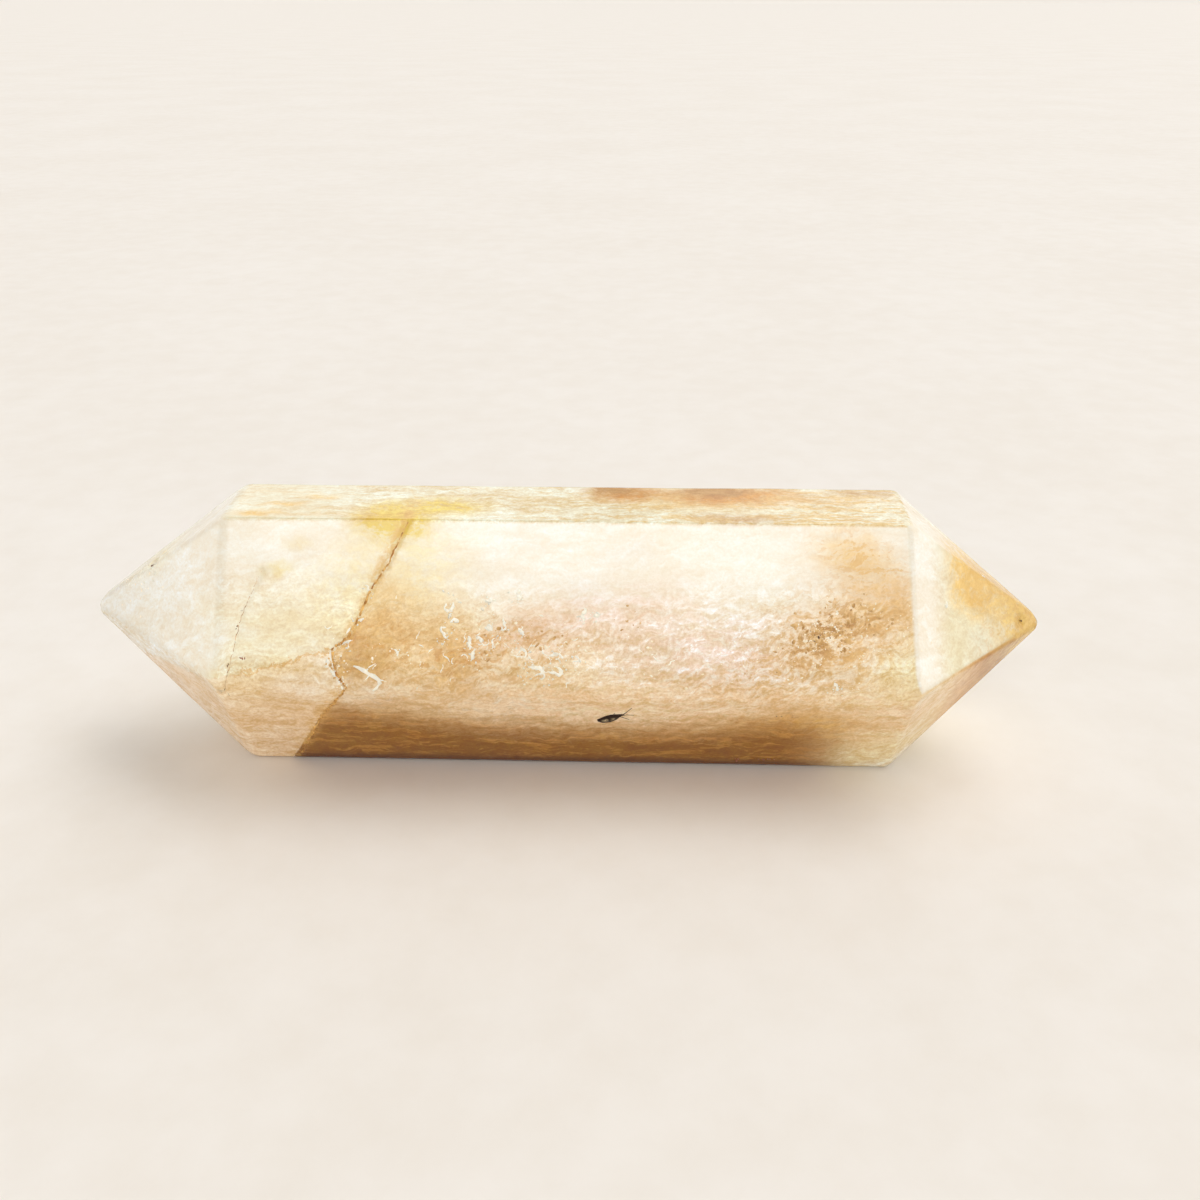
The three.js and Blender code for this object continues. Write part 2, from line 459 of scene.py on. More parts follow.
    def parted_colour(self):
        """The two colours on either side of the main crack, its ochre seam, and the right ledge."""
        colour = self.body_colour()
        colour = self.mix(self.right_of_crack, self.left_colour(colour), self.right_colour(colour))
        seam = self.gap.whole().fall(0.1, 1.2, 0.7) * self.curds.rise(0.35, 0.6)
        colour = self.mix(seam * self.front, colour, OCHRE)
        ledge = (self.z - 21.0 + self.curds.sway(1.4) + self.wisps.sway(1.6)).whole().fall(0.0, 0.22, 0.75)
        ledge = ledge * self.strokes.rise(0.42, 0.52, 0.2, 1.0)
        reach = self.x.rise(22.5, 24.5) * self.x.fall(30.0, 30.3)
        colour = self.mix(ledge * self.front * reach, colour, OCHRE)
        return self.mix(self.band * 0.9, colour, MILK)

    def crumbled(self, colour):
        """Crumbly quartz: brown between light crumbs, most of all before the right shoulder."""
        patch, crumb = self.patch, self.crumb
        right = patch((23.6, -8.8, 16.0), (12.0, 8.0, 6.6), 25) * self.body
        right = right.most(patch((18.6, -10.2, 13.6), (9.0, 6.0, 3.4), 10) * 0.8)
        core = patch((23.0, -8.9, 16.3), (6.0, 5.0, 2.4), 28)
        upper = patch((25.4, -5.6, 22.0), (6.0, 5.0, 2.8), -15) * self.body
        upper = upper.most((self.facet - self.band).most(0.0) * self.x.rise(35.0, 41.0, 0.0, 0.7))
        middle = patch((-8.0, -9.6, 14.6), (17.0, 7.0, 5.0), 5, 1.0)
        middle = middle.most(patch((-15.6, -9.8, 14.8), (6.0, 5.0, 4.6), 25)) * self.right_of_crack
        light = patch((14.0, -9.0, 14.8), (26.0, 9.0, 7.0), 0, 1.0) * self.body
        colour = self.mix(right * crumb.fall(0.44, 0.49, 0.75), colour, OCHRE)
        colour = self.mix(core * crumb.fall(0.45, 0.52, 0.9), colour, BROWN)
        colour = self.mix(upper * crumb.fall(0.44, 0.50, 0.85), colour, OCHRE)
        colour = self.mix(middle * crumb.fall(0.43, 0.49, 0.6), colour, RUSSET)
        return self.mix(light * crumb.rise(0.51, 0.57, 0.0, 0.6), colour, WHITE)

    def grained(self, colour):
        """The quartz's own grain: dark bits are warm and light bits white. Clean milk has less of it, and so
        has the top of the front, where a painted sheen washes it out.
        """
        tinted = self.look.tinted
        # grain is calmed in clean milk, and at the top of the front as a painted sheen that washes it out and
        # whitens it
        clean_milk_and_sheen = (self.z - 0.04 * self.x.whole()).rise(15.5, 20.5) * (0.6 + self.front * 0.4) * (1 - self.top)
        clean_milk_and_sheen = clean_milk_and_sheen.most(self.facet * 0.7).most(self.band).most(self.left_facet * 0.8)
        clean_milk_and_sheen = clean_milk_and_sheen.most(self.x.fall(-22.0, -17.0, 0.6) * self.z.rise(13.0, 15.0))
        milkiness = self.wisps.rise(0.40, 0.60).calmed(0.7, clean_milk_and_sheen * 0.5)
        coarse = self.streaks.rise(0.36, 0.64) * 0.5 + self.strokes.rise(0.36, 0.64) * 0.5
        coarse = coarse.calmed(0.60, clean_milk_and_sheen * 0.8)
        fine = self.sugar.rise(0.3, 0.7).calmed(0.62, 0.45 + clean_milk_and_sheen * 0.35)
        colour = tinted(colour, milkiness, (0.95, 0.89, 0.79), (1.03, 1.06, 1.10))
        colour = tinted(colour, coarse, (0.88, 0.76, 0.53), (1.11, 1.18, 1.27))
        return tinted(colour, fine, (0.86, 0.78, 0.67), (1.11, 1.16, 1.23))

    def milk(self):
        """How much of the quartz is milky: nearly all of it, and least at the tips."""
        left_end = self.patch((-42.0, 0, 13.0), (15.0, 14.0, 16.0), 0, 0.8)
        right_end = self.patch((43.0, 0, 13.0), (11.0, 14.0, 14.0), 0, 0.8)
        milk = 0.985 + self.clouds.sway(0.08) + self.streaks.sway(0.1)
        return (milk - left_end * 0.12 - right_end * 0.09).most(0.7).least(0.99)


QUARTZ_IOR = 1.544
CLEAR = (1.0, 0.98, 0.94)
DEPTH_TINT = (0.97, 0.88, 0.66)  # what clear quartz leaves of the light that crosses it
DEPTH_DENSITY = 14.0  # per metre
POLISH = 0.03  # height of the polish's ripple


def stone_look():
    """Polished quartz: clear where the milk is thin, and milky with its stains elsewhere."""
    quartz = Quartz()
    look = quartz.look
    colour = quartz.grained(quartz.crumbled(quartz.parted_colour()))
    gloss = 0.10 + quartz.streaks * 0.08
    bump = look.node("ShaderNodeBump", sockets={
        "Strength": 0.35, "Distance": POLISH * MM, "Height": quartz.ripple,
    })
    clear = look.node("ShaderNodeBsdfPrincipled", sockets={
        "Base Color": CLEAR, "Roughness": gloss, "IOR": QUARTZ_IOR,
        "Transmission Weight": 1.0, "Normal": bump,
    })
    milky = look.node("ShaderNodeBsdfPrincipled", sockets={
        "Base Color": colour, "Roughness": gloss, "IOR": QUARTZ_IOR, "Normal": bump,
    })
    surface = look.node("ShaderNodeMixShader", sockets={0: quartz.milk(), 1: clear, 2: milky})
    depth = look.node("ShaderNodeVolumeAbsorption", sockets={"Color": DEPTH_TINT, "Density": DEPTH_DENSITY})
    look.show(Surface=surface, Volume=depth)
    return look


# The minerals in the skin: light tone, dark tone, size of their mottling, and roughness.
MINERALS = {
    "healed_crack": ((0.88, 0.54, 0.17), (0.44, 0.18, 0.03), 0.6, 0.6),
    "thin_crack": ((0.82, 0.56, 0.30), (0.36, 0.17, 0.06), 0.4, 0.6),
    "white_quartz": ((1.0, 0.98, 0.88), (1.0, 0.94, 0.78), 0.25, 0.15),
    "brown_grain": ((0.78, 0.50, 0.20), (0.46, 0.24, 0.07), 0.4, 0.6),
    "pale_grain": ((1.0, 0.94, 0.80), (0.90, 0.74, 0.48), 0.5, 0.3),
    "dark_grain": ((0.30, 0.15, 0.06), (0.08, 0.035, 0.015), 0.3, 0.6),
    "rust_grain": ((0.40, 0.12, 0.04), (0.22, 0.05, 0.02), 0.3, 0.4),
}
MINERAL_IOR = 1.5
SLIVER_IOR = 1.3  # duller than the others
SLIVER_SHEEN_SPOT = ((4.3, -9.3, 7.65), (0.9, 1.0, 0.26), 22, 0.7)  # a painted sheen on the sliver: centre, size, lean, softness
# the painted sheen's pale olive colour
SLIVER_SHEEN = (0.58, 0.47, 0.29)
SLIVER_DARK = (0.022, 0.009, 0.004)


def mineral_look(name):
    """One mineral in two tones."""
    light, dark, size, roughness = MINERALS[name]
    look = new_look(name)
    tone = look.grain(size, detail=4, roughness=0.6).rise(0.32, 0.68)
    look.show(Surface=look.node("ShaderNodeBsdfPrincipled", sockets={
        "Base Color": look.mix(tone, dark, light), "Roughness": roughness, "IOR": MINERAL_IOR,
    }))
    return look


def sliver_look():
    """Black mineral with a painted pale olive sheen in its middle."""
    look = new_look("dark_sliver")
    # painted sheen: a pale patch in the middle of the black mineral
    core = look.patch(*SLIVER_SHEEN_SPOT) * look.grain(0.3, detail=3, roughness=0.6).rise(0.35, 0.6)
    look.show(Surface=look.node("ShaderNodeBsdfPrincipled", sockets={
        "Base Color": look.mix(core, SLIVER_DARK, SLIVER_SHEEN), "Roughness": 0.6, "IOR": SLIVER_IOR,
    }))
    return look


# ---- making pieces ----


def finish_piece(bm, name, look, smooth=True):
    """Turns a bmesh in millimetres into a piece of the stone."""
    bmesh.ops.scale(bm, vec=(MM,) * 3, verts=bm.verts)
    mesh = bpy.data.meshes.new(name)
    for face in bm.faces:
        face.smooth = smooth
    bm.to_mesh(mesh)
    bm.free()
    piece = bpy.data.objects.new(name, mesh)
    bpy.context.scene.collection.objects.link(piece)
    mesh.materials.append(look.material)
    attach(piece, BODY)
    return piece


def grind(bm, point, outward):
    """Cuts off everything in front of a plane and closes the cut with a flat."""
    cut = bmesh.ops.bisect_plane(
        bm, geom=bm.verts[:] + bm.edges[:] + bm.faces[:],
        plane_co=point, plane_no=outward, clear_outer=True,
    )
    rim = [part for part in cut["geom_cut"] if isinstance(part, bmesh.types.BMEdge)]
    bmesh.ops.contextual_create(bm, geom=rim)


def slice_up(bm, step):
    """Scores a mesh with evenly spaced cuts along X, Y and Z, so that it can be shaped finely."""
    for axis in range(3):
        way = Vector((0, 0, 0))
        way[axis] = 1
        spots = [vert.co[axis] for vert in bm.verts]
        low = min(spots)
        reach = max(spots) - low
        count = int(reach / step)
        for i in range(1, count + 1):
            place = way * (low + (i - 0.5) * reach / count)
            bmesh.ops.bisect_plane(
                bm, geom=bm.verts[:] + bm.edges[:] + bm.faces[:], plane_co=place, plane_no=way,
            )


def along_path(places, share):
    """The point at a share of the way along straight runs between places."""
    spot = share * (len(places) - 1)
    i = min(int(spot), len(places) - 2)
    return Vector(places[i]).lerp(Vector(places[i + 1]), spot - i)


def far_from(point, places):
    """How far a point is from the straight runs between places."""
    gaps = []
    for start, stop in zip(places, places[1:]):
        _, share = intersect_point_line(point, Vector(start), Vector(stop))
        share = min(1.0, max(0.0, share))
        gaps.append((point - Vector(start).lerp(Vector(stop), share)).length)
    return min(gaps)


def near_crack(point, places, reach):
    """Whether a point is within reach of a crack. Most points are past it, which is quick to see."""
    spots = [place[0] for place in places]
    beside = min(spots) - reach < point.x < max(spots) + reach
    return beside and point.y < 0 and far_from(point, places) < reach


# ---- the stone itself ----

CORNER = 0.7  # flats that nearly meet at a corner meet there
EDGE_ROUND = 2.0  # how far the widest rounding reaches in from an edge
EDGE_STEPS = 7  # strips that an edge is rounded in
# Share of that rounding on each edge between two sides, by the way the edge faces.
SIDE_EDGES = {
    120: 0.06,  # top front
    178: 1.0,  # front
    238: 0.22,  # bottom front
    300: 0.34,  # bottom back
    0: 0.8,  # back
    60: 0.28,  # top back
}
# The same on the edges of each end: between it and the sides, and between its facets.
SHOULDER_ROUND = {1: 0.16, -1: 0.3}
RIDGE_ROUND = {1: 0.22, -1: 0.27}
TIP_ROUND = 1.3  # how far back from a tip its wear reaches
TIP_STROKES = 60  # strokes of smoothing at most
FLAT_RIM = 0.12  # strip that keeps a flat's shading off its rounded edges
GRID = 0.62  # spacing of the fine cuts
FINER = 3  # cuts more in an edge beside a chip or a crack
CRACK_REACH = 0.9  # how far from a crack the mesh is finer
WAVE = 0.05  # height of the hand polish's waves
WAVE_LENGTH = 9.0
SHORT_WAVE = 0.4  # share of that height in waves of a shorter length
SHORT_WAVE_LENGTH = 3.1
FLAT_BELOW = 2.0  # the waves fade out below this height, so that the stone rests flat
CHIP_RAGGED = 0.35  # share of its width that a chip's rim wavers by
CHIP_NOISE = 2.3
GROOVE_HALF = 0.28  # half the width of a crack's groove
GROOVE_DEPTH = 0.07

# Chips and pits: where, how wide, how deep.
DINGS = [
    ((-37.2, -1.2, 18.7), 0.75, 0.3),
    ((-36.2, -0.6, 19.3), 0.5, 0.15),
    ((41.8, -1.4, 13.8), 0.5, 0.3),
    ((20.0, -9.8, 8.6), 0.6, 0.12),
    ((-29.2, -10.6, 10.5), 0.6, 0.15),
    ((-12.0, 11.3, 12.2), 0.9, 0.2),
    ((24.0, 6.0, 22.6), 0.7, 0.16),
    ((33.0, 8.0, 9.0), 0.8, 0.2),
]


def rounding_of(edge):
    """How much of the widest rounding an edge of the sharp stone gets."""
    ends = [end_of(face.normal) for face in edge.link_faces]
    if 0 not in ends:
        return RIDGE_ROUND[ends[0]]
    if ends != [0, 0]:
        return SHOULDER_ROUND[sum(ends)]
    corner = edge.verts[0].co
    way = facing(Vector((0, corner.y, corner.z - HEIGHT / 2)))
    nearest = min(SIDE_EDGES, key=lambda one: abs((one - way + 180) % 360 - 180))
    return SIDE_EDGES[nearest]


def sharp_stone():
    bm = bmesh.new()
    bmesh.ops.create_cube(bm, size=2 * LENGTH)
    for flat in FLATS:
        grind(bm, flat.middle, flat.normal)
    bmesh.ops.remove_doubles(bm, verts=bm.verts, dist=CORNER)
    bmesh.ops.recalc_face_normals(bm, faces=bm.faces)
    return bm


def rounded(bm):
    """The same stone with every edge worn round by its own amount."""
    weight = bm.edges.layers.float.new("bevel_weight_edge")
    for edge in bm.edges:
        edge[weight] = rounding_of(edge)
    mesh = bpy.data.meshes.new("blank")
    bm.to_mesh(mesh)
    blank = bpy.data.objects.new("blank", mesh)
    bpy.context.scene.collection.objects.link(blank)
    wheel = blank.modifiers.new("wheel", "BEVEL")
    wheel.limit_method = "WEIGHT"
    wheel.offset_type = "OFFSET"
    wheel.width = EDGE_ROUND
    wheel.segments = EDGE_STEPS
    worn = bmesh.new()
    worn.from_object(blank, bpy.context.evaluated_depsgraph_get())
    bpy.data.objects.remove(blank)
    bpy.data.meshes.remove(mesh)
    return worn


def refine(bm, edges):
    bmesh.ops.subdivide_edges(bm, edges=edges, cuts=FINER, use_grid_fill=True)


def wear_tips(bm):
    """Smooths both tips until the stone is as long as it should be."""
    axes = {"use_axis_x": True, "use_axis_y": True, "use_axis_z": True}
    for end in (-1, 1):
        for _ in range(TIP_STROKES):
            reach = max(vert.co.x * end for vert in bm.verts)
            if reach < LENGTH / 2:
                break
            near = [vert for vert in bm.verts if vert.co.x * end > LENGTH / 2 - TIP_ROUND]
            bmesh.ops.smooth_vert(bm, verts=near, factor=0.5, **axes)


def hand_polish(bm):
    """Leaves faint waves in the flats, but not where the stone rests."""
    for vert in bm.verts:
        away_from_rest = min(1, vert.co.z / FLAT_BELOW)
        wave = noise.noise(vert.co / WAVE_LENGTH) + SHORT_WAVE * noise.noise(vert.co / SHORT_WAVE_LENGTH)
        vert.co += vert.normal * (wave * WAVE * away_from_rest)


def chip(bm, place, width, depth):
    """Knocks a ragged hollow into the skin."""
    spot = Vector(place)
    for vert in bm.verts:
        share = (vert.co - spot).length / (width * (1 + CHIP_RAGGED * noise.noise(vert.co * CHIP_NOISE)))
        if share < 1:
            vert.co -= vert.normal * (depth * (1 - share * share))


def groove(bm, crack):
    """Sinks the skin along a crack."""
    for vert in [one for one in bm.verts if near_crack(one.co, crack, GROOVE_HALF)]:
        share = far_from(vert.co, crack) / GROOVE_HALF
        vert.co -= vert.normal * (GROOVE_DEPTH * (1 - share * share))


def make_stone(look):
    bm = rounded(sharp_stone())
    bmesh.ops.inset_individual(bm, faces=biggest_faces(bm), thickness=FLAT_RIM, use_even_offset=True)
    slice_up(bm, GRID)
    bm.normal_update()
    for place, width, _ in DINGS:
        spot = Vector(place)
        refine(bm, [edge for edge in bm.edges if (edge.verts[0].co - spot).length < width + GRID])
    for crack in CRACKS:
        refine(bm, [edge for edge in bm.edges if near_crack(edge.verts[0].co, crack, CRACK_REACH)])
    wear_tips(bm)
    bm.normal_update()
    hand_polish(bm)
    for place, width, depth in DINGS:
        chip(bm, place, width, depth)
    for crack in CRACKS:
        groove(bm, crack)
    bmesh.ops.recalc_face_normals(bm, faces=bm.faces)
    bm.normal_update()
    skin = Skin(bm)
    stone = finish_piece(bm, "stone", look)
    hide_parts(NODE)
    return skin


# ---- what is sealed in the stone ----

THREAD_SIDES = 6
THREAD_SUNK = 0.02  # how far under the skin a thread's middle is
LIP_SUNK = 0.01  # the same of a crack's lip
LIP_STEP = 0.17
LIP_JAG = 0.16  # how far a crack's lip strays
LIP_SHORT_BENDS = 1.7  # bends to the millimetre
LIP_LONG_BENDS = 0.5
LIP_SHORTEST_RUN = 3  # places; a run has more
LIP_TOP = 0.35  # share of its thickness that a lip starts with at the top
LIP_THICKENING = 1.6  # how soon it has all of it
SHEET_STEPS = 90  # faces along a crack's film
SHEET_ROWS = 8  # and down it
SHEET_SUNK = 0.05
SHEET_RAGGED = 0.3  # height of its lumps
SHEET_NOISE = (31.0, 5.0)  # lumps along a film and down it
SHEET_REACH_NOISE = 9.0  # waves along its inner rim
SHEET_THICKNESS = 0.06
SQUIGGLE_STEP = 0.13
SQUIGGLE_WOBBLE = 0.9  # how far a squiggle may turn in one step, in radians
FLECK_WIDENING = 1.3
FLECK_PRESS = 0.16  # how far white flecks stand off the skin, of what they did before
CRUMBS_PER_LENGTH = 9
CRUMB_SIZES = (0.03, 0.13)
CRUMB_SPREAD = 0.4  # of a fleck's length
STRAY_COUNT = 60  # small flecks between the big ones
STRAY_MIDDLE = (-5.0, -9.6, 14.8)
STRAY_SPREAD = (7.0, 1.6)  # along the stone and up it
GRAIN_HEIGHT = 0.35  # of its size
FARTHEST_GRAIN = 1.7  # from its cluster's middle, in spreads
SPECK_PRESS = 0.4  # the same of the dark mineral as FLECK_PRESS of the flecks


def press_flat(bm, skin, share):
    """Flattens minerals against the skin, to a share of how far they stood off it."""
    for vert in bm.verts:
        spot, lie = skin.at(vert.co)
        normal = lie.col[2]
        vert.co = spot + normal * ((vert.co - spot).dot(normal) * share)


def finish_minerals(bm, name, look, smooth=True):
    bmesh.ops.recalc_face_normals(bm, faces=bm.faces)
    return finish_piece(bm, name, look, smooth)


def thread(bm, places, widths):
    """A bent thread from place to place, as wide at each as widths say, with both ends closed."""
    way = (places[1] - places[0]).normalized()
    turn = way.to_track_quat("Z", "Y").to_matrix().to_4x4()
    start = bmesh.ops.create_circle(
        bm, cap_ends=True, segments=THREAD_SIDES, radius=widths[0],
        matrix=Matrix.Translation(places[0]) @ turn,
    )
    tip = start["verts"][0].link_faces[0]
    for before, place, was, width in zip(places, places[1:], widths, widths[1:]):
        step = bmesh.ops.extrude_face_region(bm, geom=[tip])
        tip = next(part for part in step["geom"] if isinstance(part, bmesh.types.BMFace))
        heading = (place - before).normalized()
        bend = way.rotation_difference(heading).to_matrix()
        bmesh.ops.translate(bm, vec=place - before, verts=tip.verts)
        bmesh.ops.rotate(bm, cent=place, matrix=bend, verts=tip.verts)
        bmesh.ops.scale(bm, vec=(width / was,) * 3, space=Matrix.Translation(-place), verts=tip.verts)
        way = heading


def crack_lip(bm, skin, rng, places, widths, gaps):
    """The ragged line that a crack draws on the skin, in runs with a gap here and there."""
    length = sum((Vector(b) - Vector(a)).length for a, b in zip(places, places[1:]))
    count = int(length / LIP_STEP)
    run = []
    for i in range(count + 1):
        spot, _ = skin.at(along_path(places, i / count), LIP_SUNK)
        short = noise.noise_vector(spot * LIP_SHORT_BENDS) * LIP_JAG
        long = noise.noise_vector(spot * LIP_LONG_BENDS) * LIP_JAG
        run.append(skin.at(spot + (short + long), LIP_SUNK)[0])
        if len(run) > LIP_SHORTEST_RUN and (rng.random() < gaps or i == count):
            fade = min(1.0, LIP_TOP + LIP_THICKENING * i / count)
            thread(bm, run, [rng.uniform(*widths) * fade for _ in run])
            run = []


def crack_sheet(bm, skin, places, depth, lean):
    """The healed film itself, from the skin inwards, leaning along the stone as it goes down."""
    bmesh.ops.create_grid(bm, x_segments=SHEET_STEPS, y_segments=SHEET_ROWS, size=0.5)
    lengthwise, downwards = SHEET_NOISE
    for vert in bm.verts:
        share = vert.co.x + 0.5
        inward = vert.co.y + 0.5
        spot, lie = skin.at(along_path(places, share), SHEET_SUNK)
        normal = lie.col[2]
        lumps = noise.noise_vector(Vector((share * lengthwise, inward * downwards, depth)))
        jag = lumps * SHEET_RAGGED * inward
        reach = depth * (0.6 + 0.4 * noise.noise(Vector((share * SHEET_REACH_NOISE, 3.0, depth))))
        way = (Vector((lean, 0, 0)) - normal).normalized()
        vert.co = spot + jag + way * (inward ** 1.5 * reach)
    bmesh.ops.solidify(bm, geom=bm.faces[:], thickness=SHEET_THICKNESS)


def make_crack(skin, name, look, places, depth, lean, widths, gaps, seed):
    bm = bmesh.new()
    crack_sheet(bm, skin, places, depth, lean)
    crack_lip(bm, skin, random.Random(seed), places, widths, gaps)
    return finish_minerals(bm, name, look)


def squiggle(bm, skin, rng, place, length, width, heading, curl):
    """A short crumbly worm of pale quartz that wanders along the skin, half sunk in it."""
    steps = max(5, int(length / SQUIGGLE_STEP))
    spot, _ = skin.at(place, THREAD_SUNK)
    places = [spot]
    for i in range(steps):
        heading += curl / steps + rng.uniform(-SQUIGGLE_WOBBLE, SQUIGGLE_WOBBLE)
        _, lie = skin.at(places[-1])
        stride = lie.col[0] * math.cos(heading) + lie.col[1] * math.sin(heading)
        places.append(skin.at(places[-1] + stride * (length / steps), THREAD_SUNK)[0])
    taper = [math.sin(math.pi * (i + 0.6) / (steps + 1.2)) for i in range(steps + 1)]
    thread(bm, places, [width * (0.3 + 0.8 * share) * rng.uniform(0.45, 1.3) for share in taper])


def grain(bm, skin, rng, place, size, depth):
    """One angular grain that lies flat in the skin."""
    spot, lie = skin.at(place, depth)
    length = size * rng.uniform(0.6, 1.6)
    width = size * rng.uniform(0.4, 1.0)
    shape = Matrix.Diagonal((length, width, size * GRAIN_HEIGHT, 1))
    turn = Matrix.Rotation(rng.uniform(0, math.tau), 4, "Z")
    lie = Matrix.Translation(spot) @ lie.to_4x4() @ turn @ shape
    bmesh.ops.create_icosphere(bm, subdivisions=1, radius=1.0, matrix=lie)


def crumbs_about(bm, skin, rng, place, length):
    """Crumbs of white quartz about a fleck, more of them about a longer one."""
    for _ in range(int(length * CRUMBS_PER_LENGTH)):
        near = Vector(place) + Vector([rng.gauss(0, CRUMB_SPREAD * length) for _ in range(3)])
        grain(bm, skin, rng, near, rng.uniform(*CRUMB_SIZES), 0.0)


def stray_fleck(bm, skin, rng):
    x, y, z = STRAY_MIDDLE
    along, up = STRAY_SPREAD
    place = (rng.gauss(x, along), y, z + rng.gauss(0, up))
    size = rng.uniform(0.3, 1.0)
    squiggle(bm, skin, rng, place, size, size * 0.07, rng.uniform(0, math.tau), rng.uniform(-2, 2))


def make_flecks(skin, look):
    rng = random.Random(7)
    bm = bmesh.new()
    for widths, places in HOOK:
        thread(bm, [skin.at(place, THREAD_SUNK)[0] for place in places], widths)
    for place, length, width, heading, curl in FLECKS:
        width *= FLECK_WIDENING
        squiggle(bm, skin, rng, place, length, width, math.radians(heading), math.radians(curl))
        crumbs_about(bm, skin, rng, place, length)
    for _ in range(STRAY_COUNT):
        stray_fleck(bm, skin, rng)
    press_flat(bm, skin, FLECK_PRESS)
    return finish_minerals(bm, "white_flecks", look)


def scatter(skin, name, look, seed, clusters, sizes):
    """Grains scattered about several places: each cluster is a centre, a spread and a count."""
    rng = random.Random(seed)
    bm = bmesh.new()
    for centre, spread, count in clusters:
        for _ in range(count):
            aside = [max(-FARTHEST_GRAIN, min(FARTHEST_GRAIN, rng.gauss(0, 1))) for _ in range(3)]
            place = [middle + far * wide for middle, far, wide in zip(centre, aside, spread)]
            size = rng.uniform(*sizes) * rng.uniform(0.5, 1)
            grain(bm, skin, rng, place, size, size * 0.3 * rng.random())
    return finish_minerals(bm, name, look, smooth=False)


def make_speck(skin, look):
    """The dark mineral on the stone's lower front: a broken sliver with thin legs."""
    bm = bmesh.new()
    for widths, places in SPECK:
        thread(bm, [skin.at(place)[0] for place in places], widths)
    press_flat(bm, skin, SPECK_PRESS)
    return finish_minerals(bm, "dark_mineral", look)


# Where the two healed cracks meet the skin, from the top down.
MAIN_CRACK = [
    (-13.2, -4.1, 24.2), (-13.8, -4.9, 22.8), (-14.8, -6.0, 21.0), (-16.1, -7.0, 19.3), (-17.0, -8.1, 17.5),
    (-18.0, -9.2, 15.6), (-18.9, -9.6, 15.0), (-19.4, -9.8, 14.6), (-19.2, -10.4, 13.6), (-18.7, -11.1, 12.3),
    (-18.3, -11.2, 11.4), (-19.8, -10.0, 9.1), (-21.4, -9.0, 7.2), (-22.7, -7.6, 4.5), (-24.7, -5.7, 0.9),
]
LEFT_CRACK = [
    (-25.6, -6.3, 20.5), (-26.3, -7.0, 19.0), (-27.1, -7.9, 17.6), (-27.4, -8.9, 16.1),
    (-28.0, -10.0, 14.2), (-28.5, -11.1, 12.3), (-29.0, -10.7, 10.6),
]
CRACKS = [MAIN_CRACK, LEFT_CRACK]

# White flecks: place, length, width, and the heading and curl in degrees.
FLECKS = [
    ((-9.1, -7.6, 18.3), 1.9, 0.13, -55, 40),
    ((-9.3, -8.5, 16.8), 0.9, 0.16, 70, -60),
    ((-9.6, -9.2, 15.6), 1.6, 0.12, 100, -190),
    ((-7.6, -9.8, 14.9), 1.3, 0.15, 20, 120),
    ((-7.5, -10.2, 14.0), 1.2, 0.13, 40, -90),
    ((-6.3, -7.6, 18.3), 1.0, 0.15, 60, -80),
    ((-6.0, -8.9, 16.2), 1.6, 0.16, 60, -160),
    ((-5.0, -8.8, 16.4), 1.5, 0.13, -30, -50),
    ((-6.6, -9.3, 15.3), 0.8, 0.13, 80, 90),
    ((-3.0, -9.0, 15.9), 0.8, 0.14, 60, 90),
    ((-3.4, -9.8, 14.6), 1.5, 0.12, 80, -250),
    ((-2.6, -10.4, 13.6), 1.7, 0.16, -20, 60),
    ((-0.8, -9.9, 14.4), 1.4, 0.12, 60, 100),
    ((-0.2, -10.4, 13.7), 1.9, 0.15, -70, -60),
    ((-1.6, -11.0, 12.7), 1.6, 0.11, 10, 40),
    ((1.2, -10.2, 14.0), 1.1, 0.09, 40, 80),
    ((2.0, -8.4, 17.0), 1.4, 0.13, 30, 60),
    ((2.9, -8.2, 17.4), 0.8, 0.15, 50, 100),
    ((-13.8, -10.0, 14.3), 0.8, 0.12, 60, 90),
    ((-3.6, -7.5, 18.5), 1.0, 0.22, 80, 20),
    ((-16.3, -7.2, 18.9), 0.9, 0.10, 60, 20),
    ((-17.3, -8.5, 16.8), 0.7, 0.10, 30, 40),
    ((-18.5, -9.5, 15.2), 0.9, 0.11, 0, 40),
    ((-19.7, -10.1, 14.1), 0.9, 0.12, -80, 40),
    ((-19.4, -10.6, 13.2), 0.9, 0.13, -70, -40),
    ((-18.9, -11.1, 12.4), 0.7, 0.12, -30, 60),
    ((23.7, -11.2, 11.9), 0.9, 0.13, 60, 100),
    ((-40.0, -1.2, 16.2), 1.2, 0.08, 10, -30),
    ((-38.6, -1.6, 17.2), 1.3, 0.08, 20, -30),
    ((-36.8, -2.3, 18.2), 1.4, 0.08, 20, 40),
    ((37.4, -1.2, 18.2), 0.7, 0.10, -30, 60),
    ((33.4, -5.7, 17.4), 0.6, 0.10, 40, 60),
]
